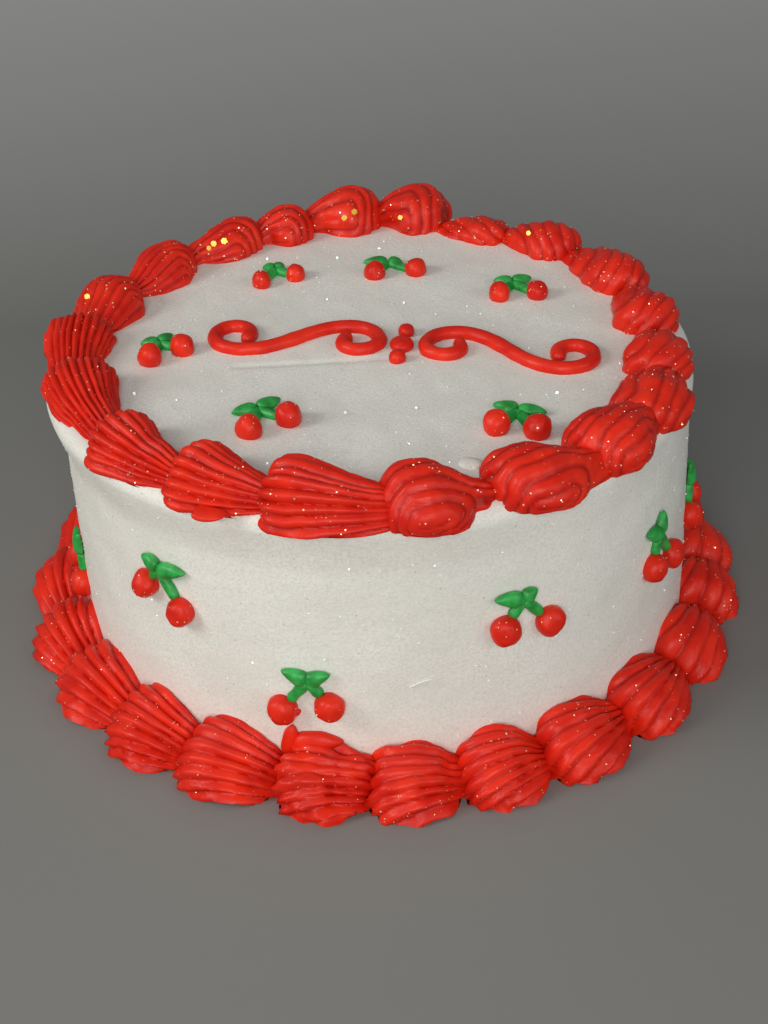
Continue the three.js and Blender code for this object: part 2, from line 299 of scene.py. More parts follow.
RIDGE_MIDDLE = 0.7
RIDGE_SWAY = 0.06
RIDGE_SWAY_TURNS = (2, 3, 5)
RIDGE_UNEVENNESS = 0.07
RIDGE_UNEVENNESS_PACE = 2.3
RIDGE_HEIGHTS = (0.8, 1.2)
RIDGE_HEIGHTS_DRAWN = 64
GROOVE_SOFTNESS = 0.02
SHELL_WAVES = [
    # height, length and what is added to the shell's seed
    (0.3, 8, 100),
    (0.1, 2.6, 200),
]
SCALLOP_TURN = 0.35
SCALLOP_ARC = 0.9
NEAREST_HINGE = 2.0
SWIRL_UP_TURN = 75
SWIRL_DOWN_TURN = 45
EYE_HEAD = 1.6
EYE_SIZE = 0.55
EYE_FADE = 0.6
EYE_SWELLING = 0.1
CORE_HEAD = 1.2
CORE_END = 0.65
CORE_END_LENGTH = 5.5
CORE_SLANT = 26
LOBE_POWER = 2.0
LOBE_BLEND = 4
LOBE_TAIL = 0.7
LOBE_END_WIDTH = 1.8
LOBE_END_FADE = 0.8
LOBE_END_TURN = 0.6
SEEN_UP = np.array([0, 0.56, 0.83])
TOP_RING_CENTRE = -1.3
TOP_RING_HEIGHT = 56.6
TOP_BORDER_FOOT = 54.6
TOP_BORDER_TILT = 0.8
TOP_BORDER_SEED = 20
RED_SHADED = (0.62, 0.012, 0.004)
RED_BRIGHT = (0.80, 0.026, 0.007)
# The next colour is painted shade: a darker red laid into the grooves of the ridges.
RED_GROOVE_SHADE = (0.26, 0.002, 0.002)
TOP_SHELLS = [
    # Start angle, half width, half height, ring radius, how far its tail swings out, and the way that its
    # ridges run: a fan or a fold has a number of ridges and how far beyond the tail they meet, bands a
    # slope and a width, and a swirl its core's start and end as shares of the length that shows, the
    # core's place round the shell, its lobe's end, its ridges, how round its sides are and its tail's
    # width. A core that starts below 0 faces inwards, and one that ends at 2 runs on to the tail.
    (-124.5, 7.3, 7.1, 56.2, 0, "fan", 20, 1.12),
    (-108.3, 7.7, 7.4, 56.0, 1.2, "fold", 18, 1.3),
    (-89.5, 7.5, 7.1, 56.4, 1.0, "swirl", 0.3, 0.52, 86, 0.82, 3.2, 0.8, 0.3),
    (-71, 7.2, 5.9, 56.1, 2.6, "swirl", 0.3, 0.58, 96, 0.88, 3.1, 1.1, 0.5),
    (-52.5, 6.6, 6.3, 56.2, 1.6, "swirl", 0.34, 0.62, 92, 0.92, 3.0, 1.3, 0.6),
    (-37, 6.6, 5.0, 56.4, 0, "swirl", 0.4, 0.7, 100, 1.0, 2.4, 1.3, 0.6),
    (-20.5, 6.4, 5.2, 54.4, 0, "bands", 40, 2.7),
    (-1.5, 6.2, 5.2, 53.6, 0, "bands", 48, 2.5),
    (18, 6.2, 5.4, 55.0, 0, "bands", 60, 2.8),
    (39.5, 6.0, 5.2, 55.0, 0, "bands", 104, 2.7),
    (56.5, 4.8, 3.5, 53.2, 0, "bands", 130, 3.0),
    (72, 7.5, 7.6, 57.0, 0, "swirl", -0.6, 2, 72, 0.9, 2.5, 1.0, 0.35),
    (87, 7.2, 7.2, 56.4, 0, "swirl", -0.45, 2, 62, 0.85, 2.3, 1.0, 0.35),
    (103, 5.8, 5.7, 54.2, 0, "swirl", -0.6, 2, 84, 0.9, 2.5, 1.0, 0.35),
    (115.5, 5.7, 5.5, 54.0, 0, "swirl", -0.5, 2, 80, 0.9, 2.7, 1.0, 0.35),
    (134.5, 5.9, 5.8, 54.0, 0, "swirl", -0.4, 2, 100, 1.0, 3.8, 1.0, 0.35),
    (153.5, 6.4, 5.9, 55.2, 0, "swirl", -0.4, 2, 100, 1.0, 3.8, 1.0, 0.35),
    (173, 6.5, 5.6, 56.5, 0, "fan", 26, 1.9),
    (192, 6.8, 6.1, 55.8, 0, "fan", 28, 1.6),
    (216.5, 6.8, 6.7, 56.5, 0, "fan", 20, 1.12),
]


def eased(share):
    """0 to 1 with a soft start and end."""
    return share * share * (3 - 2 * share)


def plain_shell(shape, length, half_width, half_height, lobe_end):
    """A shell before its ridges: loops of (along, outwards, up), its angles from the top, and its girth.

    A rounded rim, both coordinates a power of a sine or cosine, then a narrowing to the tail. The outer
    side of a swirl ends in a lobe of its own, a superellipse, and has a narrower tail.
    """
    rim_rows, rows, upper, under = shape.grid
    turn = np.radians(np.linspace(RIM_START_TURN, 90, rim_rows))
    share = np.linspace(0, 1, rows - rim_rows + 1)[1:]
    rim = shape.rim * half_width
    along = np.concatenate([rim * (1 - np.cos(turn) ** shape.bluntness), rim + (length - rim) * share])
    narrowed = share**shape.roundness
    if lobe_end:
        narrowed = eased(narrowed)
    girth = np.concatenate([np.sin(turn) ** shape.bluntness, 1 - (1 - shape.tail) * narrowed])
    outer = girth
    if lobe_end:
        lobe = np.clip(1 - np.abs(2 * along / lobe_end - 1) ** LOBE_POWER, 0, 1) ** (1 / LOBE_POWER)
        outer = (lobe**LOBE_BLEND + (LOBE_TAIL * girth) ** LOBE_BLEND) ** (1 / LOBE_BLEND)
    from_top = np.radians(np.concatenate([
        np.linspace(-RIDGED_TO, RIDGED_TO, upper, False),
        np.linspace(RIDGED_TO, 360 - RIDGED_TO, under, False),
    ]))
    outside = eased(np.clip(0.5 + np.sin(from_top), 0, 1))
    width = half_width * (girth[:, None] + (outer - girth)[:, None] * outside)
    sink = shape.sink * (1 - girth[:, None]) * (along[:, None] > rim)
    height = half_height * girth[:, None] * np.cos(from_top) - sink
    loops = np.stack(np.broadcast_arrays(along[:, None], width * np.sin(from_top), height), -1)
    return loops, np.where(from_top < np.pi, from_top, from_top - 2 * np.pi), girth, rim


def on_ring(loops, ring_radius, ring_centre, start, height):
    """Bends loops of (along, outwards, up) counter-clockwise round a ring, from the start angle."""
    along, outwards, up = np.moveaxis(loops, -1, 0)
    angle = math.radians(start) + along / ring_radius
    radius = ring_radius + outwards
    return np.stack([ring_centre + radius * np.cos(angle), radius * np.sin(angle), height + up], -1)


def fan_phase(along, from_top, girth, rim, ridges, beyond_share):
    """Ridges that spread from a point beyond the tail, a little wider than the shell itself."""
    beyond = beyond_share * along[-1, 0]
    spread = np.where(along < rim, 1, girth[:, None] * (beyond - rim) / (beyond - along))
    return ridges * from_top * spread / (2 * np.pi)


def scallop_phase(along, from_top, girth, half_width, ridges, hinge):
    """Ridges that spread from a hinge at or beyond the tail, at so many to half a turn."""
    side = (from_top - SCALLOP_TURN) * girth[:, None] * half_width * SCALLOP_ARC
    return ridges / np.pi * np.arctan2(side, np.maximum(hinge - along, NEAREST_HINGE))


def swirl_phase(along, from_top, girth, rim, core, eye_turn, ridges):
    """Ridges nested round a core and open to the tail: the distance from a line along the shell.

    It is the head's number at the shell's rim, and 1 at a set angle above and below the line. Past the
    core's end a fixed part is added, so the nearest ridges close there and the others run on. The second
    result is how near the middle of the core a point is.
    """
    first, last = core
    middle = first if last > along.max() else (first + last) / 2
    head, slant = (CORE_HEAD, CORE_SLANT) if middle > first else (EYE_HEAD, 0)
    turned = from_top - np.radians(eye_turn - slant * (along - middle) / (along[-1, 0] / 2))
    side = turned / np.radians(np.where(turned > 0, SWIRL_DOWN_TURN, SWIRL_UP_TURN))
    side = side * np.where(along < rim, girth[:, None], 1)
    ahead = head * np.maximum(1 - along / first, 0)
    behind = CORE_END * np.clip((along - last) / CORE_END_LENGTH, 0, 1)
    distance = np.sqrt(ahead**2 + side**2 + behind**2)
    from_middle = np.hypot((along - middle) / middle, side)
    return ridges * distance, 1 - eased(np.clip(from_middle / EYE_SIZE, 0, 1))


def band_phase(shell, slope, ridge_width):
    """Ridges between parallel planes, whose slope is that of the bands as seen from the front and above."""
    tilt = math.radians(slope)
    across = np.array([math.sin(tilt), 0, 0]) - SEEN_UP * math.cos(tilt)
    return (shell - shell.mean((0, 1))) @ across / ridge_width


def normals_of(loops):
    """The direction straight out of the skin at each point of its loops."""
    out = np.cross(np.roll(loops, -1, 1) - np.roll(loops, 1, 1), np.gradient(loops, axis=0))
    out /= np.linalg.norm(out, axis=-1, keepdims=True) + 1e-9
    from_middle = loops - loops.mean(1, keepdims=True)
    return out * np.sign((out * from_middle).sum())


def ridge_pattern(kind, details, visible, half_width, shell, along, from_top, girth, rim):
    """The phase of a shell's ridges, how far they stand out at each point, and a swirl's own swelling.

    All fade towards the tail. A swirl's fade at its eye and its lobe's end too. A fan's grow at its rim.
    """
    strength = 1 - TAIL_FADE * eased(np.clip((along / visible - TAIL_FADE_START) * TAIL_FADE_PACE, 0, 1))
    if kind == "bands":
        return band_phase(shell, *details), strength, 0
    if kind == "scallop":
        ridges, hinge_share = details
        return scallop_phase(along, from_top, girth, half_width, ridges, hinge_share * visible), strength, 0
    if kind == "swirl":
        first, last, eye_turn, lobe_share, ridges, *_ = details
        core = abs(first) * visible, last * visible
        phase, eye = swirl_phase(along, from_top, girth, rim, core, eye_turn, ridges)
        at_lobe_end = np.exp(-(((along - lobe_share * visible) / LOBE_END_WIDTH) ** 2))
        outside = eased(np.clip(from_top - LOBE_END_TURN, 0, 1))
        strength = (strength - EYE_FADE * eye) * (1 - LOBE_END_FADE * at_lobe_end * outside)
        return phase, strength, EYE_SWELLING * half_width * eye
    strength += RIM_TEETH * (1 - eased(np.clip(along / visible, 0, 1)))
    return fan_phase(along, from_top, girth, rim, *details), strength, 0


def with_teeth(ridge_height, phase, from_top):
    """Ridges that become saw teeth towards a scallop's outline: a slow rise, then a quick fall."""
    gone = np.abs(phase) % 1
    at_outline = TOOTH_SHARE * np.sin(from_top) ** 4
    tooth = TOOTH_STEP * np.minimum(gone / TOOTH_RISE, (1 - gone) / TOOTH_FALL)
    return ridge_height * (1 - at_outline) + tooth * at_outline


def piped_shell(start, visible, size, ring, kind, details, seed, roughness=1.0, swing=0.0):
    """One shell, in place, and how deep in a groove each of its points lies.

    Rounded ridges with sharp grooves, a power of a sine, push the plain shell's skin out and in. They
    differ in height, sway a little, and fade out underneath.
    """
    random = np.random.default_rng(seed)
    half_width, half_height = size
    ring_radius, ring_centre, ring_height = ring
    shape, lobe_end = SHELL_KINDS[kind], 0
    if kind == "swirl":
        lobe_end = details[3] * visible
        shape = shape._replace(roundness=details[5], tail=details[6])
    length = visible + math.radians(shape.under_next) * ring_radius
    loops, from_top, girth, rim = plain_shell(shape, length, half_width, half_height, lobe_end)
    along = loops[..., 0]
    loops[..., 1] += swing * eased(np.clip(along / visible, 0, 1))
    mirror = [1, -1, 1] if kind == "swirl" and details[0] < 0 else [1, 1, 1]
    shell = on_ring(loops * mirror, ring_radius, ring_centre, start, ring_height)
    phase, strength, swelling = ridge_pattern(
        kind, details, visible, half_width, shell, along, from_top, girth, rim)
    shifts = random.uniform(0, 2 * np.pi, 3)
    sway = (RIDGE_SWAY * np.sin(turns * from_top + shift) for turns, shift in zip(RIDGE_SWAY_TURNS, shifts))
    phase = phase + sum(sway)
    phase = phase + RIDGE_UNEVENNESS * np.sin(RIDGE_UNEVENNESS_PACE * phase + shifts[0])
    crest = (np.sin(np.pi * phase) ** 2 + GROOVE_SOFTNESS) ** (shape.grooves / 2)
    own_heights = random.uniform(*RIDGE_HEIGHTS, RIDGE_HEIGHTS_DRAWN)
    ridge_height = crest * own_heights[np.floor(phase).astype(int) % RIDGE_HEIGHTS_DRAWN]
    if kind == "scallop":
        ridge_height = with_teeth(ridge_height, phase, from_top)
    above = (RIDGED_TO - np.degrees(np.abs(from_top))) / UNDER_FADE + UNDER_FADE_START
    strength *= eased(np.clip(above, 0, 1))
    push = shape.depth * half_width * (ridge_height - RIDGE_MIDDLE) * strength + swelling
    uneven = sum(height * waves(shell, length, seed + added) for height, length, added in SHELL_WAVES)
    push += roughness * uneven
    return shell + normals_of(shell) * push[..., None], np.clip(1 - crest, 0, 1)


def red_icing_material():
    """Satin red icing, in soft patches with a fine grain, and painted shade in the nozzle's grooves."""
    material, nodes, shader, link = node_tree("red_icing")
    groove = nodes.new("ShaderNodeAttribute")
    groove.attribute_name = "groove"
    patches = ranged(nodes, link, noise(nodes, link, 6), 0.35, 0.65)
    red = mixed(nodes, link, patches, RED_SHADED, RED_BRIGHT)
    # Painted shade: the red darkens towards the groove colour the deeper a point lies in a groove.
    deep = ranged(nodes, link, groove.outputs["Fac"], 0.35, 0.9, 0, 0.85)
    red = mixed(nodes, link, deep, red, RED_GROOVE_SHADE)
    link(red, shader.inputs["Base Color"])
    link(ranged(nodes, link, noise(nodes, link, 2), 0.3, 0.7, 0.34, 0.46), shader.inputs["Roughness"])
    shader.inputs["Specular IOR Level"].default_value = 0.28
    bumped(nodes, link, shader, noise(nodes, link, 0.45, 4), 0.12, 0.4)
    return material


def border_of(name, shells, grooves):
    """One piece from all of a border's shells, which mark how deep in a groove each point lies."""
    skins = [closed_skin(shell) for shell in shells]
    marks = [np.append(groove.ravel(), [0, 0]) for groove in grooves]
    return piece_of(name, skins, red_icing, groove=marks)


red_icing = red_icing_material()
top_loops, grooves = [], []
for number, (start, half_width, half_height, ring_radius, swing, kind, *details) in enumerate(TOP_SHELLS):
    after = TOP_SHELLS[(number + 1) % len(TOP_SHELLS)][0]
    visible = math.radians((after - start) % 360) * ring_radius
    ring = ring_radius, TOP_RING_CENTRE, TOP_RING_HEIGHT
    size = half_width, half_height
    seed = TOP_BORDER_SEED + number
    shell, groove = piped_shell(start, visible, size, ring, kind, details, seed, swing=swing)
    foot = TOP_BORDER_FOOT - TOP_BORDER_TILT * np.cos(np.arctan2(shell[..., 1], shell[..., 0]))
    shell[..., 2] = np.maximum(shell[..., 2], foot)
    top_loops.append(shell)
    grooves.append(groove)
top_border = border_of("top_border_shells", top_loops, grooves)
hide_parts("top_border")

# The border of shells round the foot
# The same icing and nozzle, squeezed harder, so the shells are half as large again. They lean on the
# wall and are pressed flat where they stand.
BASE_HALF_WIDTH = 9.8
BASE_HALF_HEIGHT = 9.4
BASE_RING = (63.3, -0.3, 0.2)
BASE_BORDER_SEED = 60
FOOT_TUCK = 0.35
FOOT_TUCK_DEPTH = 2.5
BASE_SHELLS = [
    # Start angle, size, ridges to half a turn, how far the hinge of the ridges is from the head as a
    # share of the length that shows, and roughness, which is most for the torn shell at the front
    (-169, 1.02, 34, 1.9, 1.0),
    (-154.5, 1.02, 34, 1.9, 1.0),
    (-139, 1.02, 36, 1.9, 1.0),
    (-124.5, 1.02, 38, 1.9, 1.0),
    (-108, 1.0, 30, 1.7, 3.2),
    (-93.8, 0.96, 32, 1.8, 1.6),
    (-79.3, 0.98, 26, 1.5, 1.0),
    (-65.5, 1.0, 22, 1.35, 1.0),
    (-49.5, 0.98, 21, 1.3, 1.0),
    (-33.5, 0.96, 17, 1.25, 1.0),
    (-16.5, 0.96, 13, 1.25, 0.8),
    (-4, 0.98, 13, 1.25, 0.8),
    (11.5, 1.0, 16, 1.25, 1.0),
    (28, 0.98, 18, 1.3, 1.0),
    (44, 1.0, 20, 1.3, 1.0),
    (60, 0.97, 21, 1.3, 1.0),
    (76, 1.02, 21, 1.3, 1.0),
    (92, 1.0, 22, 1.4, 1.0),
    (108, 0.98, 22, 1.4, 1.0),
    (124, 1.0, 24, 1.5, 1.0),
    (140, 1.02, 26, 1.6, 1.0),
    (156, 1.0, 28, 1.7, 1.0),
    (174, 1.0, 32, 1.8, 1.0),
]
base_loops, grooves = [], []
for number, (start, scale, *ridges, roughness) in enumerate(BASE_SHELLS):
    after = BASE_SHELLS[(number + 1) % len(BASE_SHELLS)][0]
    visible = math.radians((after - start) % 360) * BASE_RING[0]
    size = BASE_HALF_WIDTH * scale, BASE_HALF_HEIGHT * scale
    seed = BASE_BORDER_SEED + number
    shell, groove = piped_shell(start, visible, size, BASE_RING, "scallop", ridges, seed, roughness)
    under = FOOT_TUCK * eased(np.clip(-shell[..., 2:] / FOOT_TUCK_DEPTH, 0, 1))
    shell += (shell.mean(1, keepdims=True) - shell) * under
    shell[..., 2] = np.maximum(shell[..., 2], 0)
    base_loops.append(shell)
    grooves.append(groove)
base_border = border_of("base_border_shells", base_loops, grooves)
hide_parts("base_border")

# The piped cherries
# Two round dots of red icing, with a stroke of green for each leaf and each stem. All are pressed on
# the icing while soft, so they have a flat foot, and the strokes stick together where they cross.
DOT_ROWS = 18
DOT_COLUMNS = 28
DOT_CUT = 0.5
DOT_TIP = 0.05
DOT_BLUNTNESS = 0.85
DOT_DROOP = 0.12
DOT_SINK = 0.1
TOP_DOT_HEIGHT = 1.78
SIDE_DOT_SIZE = 1.02
SIDE_DOT_HEIGHT = 3.5
STROKE_COLUMNS = 20
STROKE_END = 0.03
STROKE_WOBBLE = 0.09
STROKE_WOBBLE_LENGTH = 4
STROKE_CUT = 0.45
STROKE_LIFT = 0.31
STROKE_SINK = 0.12
LEAF_WIDTH = 3.3
LEAF_HEIGHT = 1.8
LEAF_ARCH = 0.25
LEAF_LIFT = 0.25
LEAF_POINT = 0.85
LEAF_BLUNTNESS = 0.85
STEM_WIDTH = 2.1
STEM_HEIGHT = 0.85 * LEAF_HEIGHT
STEM_OVERLAP = 0.5
DOT_SEED = 300
GREEN_SEED = 500
GREEN_SHADED = (0.008, 0.22, 0.028)
GREEN_BRIGHT = (0.026, 0.43, 0.075)
# For each pair, in its own frame from the middle between its dots: the joint and the two leaf tips
TOP_PAIRS = [
    ((0.8, 4.6), (-2.6, 6.0), (4.3, 5.8)),
    ((0.8, 4.6), (-1.6, 5.9), (3.0, 5.2)),
    ((-1.0, 4.9), (-6.0, 5.6), (2.0, 3.9)),
    ((-0.6, 5.3), (-4.4, 6.1), (3.4, 6.8)),
    ((0.8, 6.0), (-3.9, 7.0), (5.9, 6.8)),
    ((-1.1, 6.2), (-5.7, 7.2), (4.2, 6.2)),
]
SIDE_PAIRS = [
    ((-2.3, 5.1), (-6.4, 5.6), (3.2, 8.6)),
    ((1.7, 5.4), (-2.3, 8.2), (6.2, 6.6)),
    ((-1.2, 5.4), (-6.7, 6.3), (1.3, 7.2)),
    ((-3.0, 6.4), (-8.2, 7.4), (-2.8, 11.0)),
    ((-1.6, 6.2), (-4.0, 11.6), (3.8, 8.0)),
    ((0.6, 5.4), (-4.4, 7.4), (5.0, 7.0)),
    ((-0.4, 5.2), (-5.2, 6.4), (4.4, 7.6)),
    ((0.2, 5.4), (-4.6, 7.6), (4.8, 6.4)),
    ((-0.8, 5.4), (-5.6, 6.8), (3.8, 7.8)),
    ((1.8, 6.0), (-3.4, 8.0), (3.6, 12.0)),
]


def on_top(middle, turn):
    """A place on the cake's top: u and v lie on the icing, turned by an angle, and h stands off it."""
    def place(u, v, h):
        x = middle[0] + u * math.cos(turn) - v * math.sin(turn)
        y = middle[1] + u * math.sin(turn) + v * math.cos(turn)
        return np.stack(np.broadcast_arrays(x, y, CAKE_HEIGHT + h), -1)
    return place


def on_wall(middle, turn):
    """A place on the wall, from an angle and a height: u runs round the cake, v up it, and h outwards."""
    def place(u, v, h):
        z = middle[1] + u * math.sin(turn) + v * math.cos(turn)
        angle = middle[0] + (u * math.cos(turn) - v * math.sin(turn)) / CAKE_RADIUS
        radius = wall_radius(z) + h
        return np.stack([radius * np.cos(angle) - lean_at(z), radius * np.sin(angle), z], -1)
    return place


def dot_loops(place, centre, radius, height, seed):
    """A dot of icing: an ellipsoid cut off at its foot, blunt, drooping a little, and uneven."""
    rise = np.linspace(-DOT_CUT, math.pi / 2 - DOT_TIP, DOT_ROWS)[:, None]
    turn = np.linspace(0, 2 * np.pi, DOT_COLUMNS, endpoint=False)
    across = radius * np.cos(rise) ** DOT_BLUNTNESS
    up = height * (np.sin(rise) + math.sin(DOT_CUT)) / (1 + math.sin(DOT_CUT))
    ball = np.stack(np.broadcast_arrays(across * np.cos(turn), across * np.sin(turn), up), -1)
    ball[..., 1] *= 1 + DOT_DROOP * (np.sin(turn) < 0) * np.sin(turn) ** 2
    swell = 1 + 0.05 * waves(ball, 3.5, seed) + 0.02 * waves(ball, 1.2, seed + 1)
    u, v, h = np.moveaxis(ball * swell[..., None], -1, 0)
    return place(centre[0] + u, centre[1] + v, h - DOT_SINK)


def smooth_line(points, steps):
    """A curve through points: cubic pieces that meet with the same slope, sampled evenly in each piece."""
    points = np.asarray(points, float)
    slopes = np.gradient(points, axis=0)
    share = np.linspace(0, 1, steps)[None, :, None]
    a, b, m, n = points[:-1, None], points[1:, None], slopes[:-1, None], slopes[1:, None]
    curve = (2 * share**3 - 3 * share**2 + 1) * a + (share**3 - 2 * share**2 + share) * m
    curve += (-2 * share**3 + 3 * share**2) * b + (share**3 - share**2) * n
    return np.vstack([curve[:, :-1].reshape(-1, 2), points[-1:]])


def stroke_loops(place, line, width, height, seed, point=0.5, lift=0.0, bluntness=0.5):
    """A line of icing: an oval section with a flat foot, drawn along a line and rounded off at both ends.

    Point, from 0 to 1, is how long the narrowing towards the last end is, as a share of the length. That
    end is the power of a parabola: the lower the bluntness, the rounder the end.
    """
    steps = np.linalg.norm(np.diff(line, axis=0), axis=1)
    gone = np.concatenate([[0], np.cumsum(steps)])
    round_start = np.sqrt(np.clip(1 - (1 - np.clip(gone / (width / 2), 0, 1)) ** 2, 0, 1))
    left = (gone[-1] - gone) / max(point * gone[-1], width / 2)
    size = round_start * (1 - (1 - np.clip(left, 0, 1)) ** 2) ** bluntness * (1 - STROKE_END) + STROKE_END
    along = np.gradient(line, axis=0)
    along /= np.linalg.norm(along, axis=1, keepdims=True)
    turn = np.linspace(0, 2 * np.pi, STROKE_COLUMNS, endpoint=False)
    wobble = 1 + STROKE_WOBBLE * waves(np.column_stack([line, gone]), STROKE_WOBBLE_LENGTH, seed)
    side = np.cos(turn) * (size * wobble * width / 2)[:, None]
    up = np.maximum(np.sin(turn), -STROKE_CUT) * height / (1 + STROKE_CUT) * (size**0.6)[:, None]
    up += height * STROKE_LIFT
    u = line[:, :1] - side * along[:, 1:]
    v = line[:, 1:] + side * along[:, :1]
    return place(u, v, up + lift - STROKE_SINK)


def green_skins(place, spread, joint, leaves, dot_radius, seed):
    """The green of one pair: a leaf from the joint to each tip, and a stem from it down to each dot."""
    skins = []
    leaf_ends = LEAF_POINT, LEAF_LIFT, LEAF_BLUNTNESS
    for number, (cherry, tip) in enumerate(zip((-spread, spread), leaves)):
        down = np.array([cherry - joint[0], -joint[1]])
        share = 1 - (dot_radius - STEM_OVERLAP) / np.linalg.norm(down)
        stem_line = smooth_line([joint, joint + down * share * 0.5, joint + down * share], 8)
        stem = stroke_loops(place, stem_line, STEM_WIDTH, STEM_HEIGHT, seed + number, point=0.1)
        middle = (np.array(joint) + tip) / 2 + [0, LEAF_ARCH]
        leaf_line = smooth_line([joint, middle, tip], 10)
        leaf = stroke_loops(place, leaf_line, LEAF_WIDTH, LEAF_HEIGHT, seed + 5 + number, *leaf_ends)
        skins += [closed_skin(stem), closed_skin(leaf)]
    return skins


def green_icing_material():
    """Satin green icing, a little streaky, with a fine grain."""
    material, nodes, shader, link = node_tree("green_icing")
    patches = ranged(nodes, link, noise(nodes, link, 2.2), 0.35, 0.65)
    green = mixed(nodes, link, patches, GREEN_SHADED, GREEN_BRIGHT)
    link(green, shader.inputs["Base Color"])
    shader.inputs["Roughness"].default_value = 0.4
    bumped(nodes, link, shader, noise(nodes, link, 0.45, 4), 0.12, 0.4)
    return material


def middle_and_size(node):
    """The middle of a node's box and its half height, in millimetres."""
    low, high = (np.array(corner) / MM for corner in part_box(node))
    return (low + high) / 2, (high - low) / 2


green_icing = green_icing_material()
all_dots = []
for group, pairs in (("top", TOP_PAIRS), ("side", SIDE_PAIRS)):
    for number, (joint, *leaves) in enumerate(pairs, 1):
        prefix = f"{group}_cherries_{number}"
        left, half = middle_and_size(f"{prefix}_left")
        right, _ = middle_and_size(f"{prefix}_right")
        if group == "top":
            ends = left[:2], right[:2]
            radius, height = half[0], TOP_DOT_HEIGHT * half[2]
        else:
            ends = [(math.atan2(y, x + lean_at(z)) * CAKE_RADIUS, z) for x, y, z in (left, right)]
            radius, height = SIDE_DOT_SIZE * half[2], SIDE_DOT_HEIGHT
        across = np.subtract(ends[1], ends[0])
        spread, turn = np.linalg.norm(across) / 2, math.atan2(across[1], across[0])
        middle = np.add(ends[0], ends[1]) / 2
        if group == "top":
            place = on_top(middle, turn)
        else:
            place = on_wall((middle[0] / CAKE_RADIUS, middle[1]), turn)
        for side, name in ((-1, "left"), (1, "right")):
            seed = DOT_SEED + 10 * number + side
            loops = dot_loops(place, (side * spread, 0), radius, height, seed)
            all_dots.append(loops)
            dot = piece_of(f"{prefix}_{name}_dot", [closed_skin(loops)], red_icing)
            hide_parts(f"{prefix}_{name}")
        skins = green_skins(place, spread, joint, leaves, radius, GREEN_SEED + 10 * number)
        green = piece_of(f"{prefix}_leaves", skins, green_icing)
        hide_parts(f"{prefix}_green")

# The scrolls and dots across the top
# A pair of mirrored double spirals and three dots between them, piped in red with a plain round nozzle.
SCROLL_CENTRE = (4.5, -2.0)
SCROLL_TURN = -11
SCROLL_LENGTH = 69.0
SCROLL_END_CURVE = 0.38
SCROLL_OFFSET = 20.5
SCROLL_WIDTH = 2.8
SCROLL_HEIGHT = 2.2
SCROLL_STEPS = 120
SCROLL_SEED = 800
SCROLL_DOT_SEED = 850
SCROLL_DOTS = [
    # place across the line of the scrolls, and radius
    (0, 2.3),
    (5.4, 1.6),
    (-5.4, 1.6),
]


def scroll_line(mirror):
    """A double spiral: its heading grows with the square of the distance from its middle, both ways."""
    step = SCROLL_LENGTH / SCROLL_STEPS
    distance = (np.arange(SCROLL_STEPS // 2) + 0.5) * step
    heading = SCROLL_END_CURVE * distance**2 / SCROLL_LENGTH - math.pi / 4
    half = np.cumsum(np.column_stack([np.cos(heading), np.sin(heading)]) * step, axis=0)
    line = np.vstack([-half[::-1], [[0, 0]], half])
    return (line + [SCROLL_OFFSET, 0]) * [mirror, 1]


on_scroll_line = on_top(SCROLL_CENTRE, math.radians(SCROLL_TURN))
for name, mirror in (("scroll_left", -1), ("scroll_right", 1)):
    line = scroll_line(mirror)
    seed = SCROLL_SEED + mirror
    loops = stroke_loops(on_scroll_line, line, SCROLL_WIDTH, SCROLL_HEIGHT, seed, point=0.02)
    scroll = piece_of(f"{name}_line", [closed_skin(loops)], red_icing)
    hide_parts(name)
for number, (across, radius) in enumerate(SCROLL_DOTS, 1):
    loops = dot_loops(on_scroll_line, (0, across), radius, SCROLL_HEIGHT, SCROLL_DOT_SEED + number)
    dot = piece_of(f"scroll_dot_{number}_drop", [closed_skin(loops)], red_icing)
    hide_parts(f"scroll_dot_{number}")

# The scraps of icing
# Left by the nozzle and the knife: wisps pulled up the wall from a torn shell, a smear beside a cherry,
# a drip under the top border, a pale mark on the wall and a chip of dried white crust on the top.
SCRAP_SEED = 880
WALL_SCRAPS = [
    # name, colour, points as angle and height, width and thickness
    ("wisp_left", red_icing, [(-106.4, 4.6), (-107.0, 7.8), (-106.3, 12.0)], 3.6, 2.0),
    ("wisp_right", red_icing, [(-106.4, 7.8), (-102.0, 8.9), (-97.8, 9.5)], 4.6, 2.4),
    ("smear", red_icing, [(-106.4, 14.2), (-104.8, 15.4)], 1.8, 1.0),
    ("drip", red_icing, [(-117.2, 56.7), (-115.4, 56.2), (-111.8, 56.8)], 1.9, 3.4),
    ("wall_mark", white_icing, [(-86.7, 20.9), (-84.6, 21.9), (-82.4, 22.4)], 0.5, 0.3),
]
for number, (name, colour, line, width, height) in enumerate(WALL_SCRAPS):
    line = np.array(line)
    middle = line.mean(0)
    flat = (line - middle) * [math.radians(CAKE_RADIUS), 1]
    place = on_wall((math.radians(middle[0]), middle[1]), 0)
    line = smooth_line(flat, 8)
    loops = stroke_loops(place, line, width, height, SCRAP_SEED + number, point=0.7, bluntness=0.8)
    scrap = piece_of(name, [closed_skin(loops)], colour)
CRUST_CHIP = [(13.0, -44.0), (15.0, -44.6), (17.0, -45.6)]
CRUST_CHIP_WIDTH = 3.4
CRUST_CHIP_HEIGHT = 1.0
CRUST_CHIP_SEED = 890
line = smooth_line(CRUST_CHIP, 8)
loops = stroke_loops(on_top((0, 0), 0), line, CRUST_CHIP_WIDTH, CRUST_CHIP_HEIGHT, CRUST_CHIP_SEED)
chip = piece_of("crust_chip", [closed_skin(loops)], white_icing)

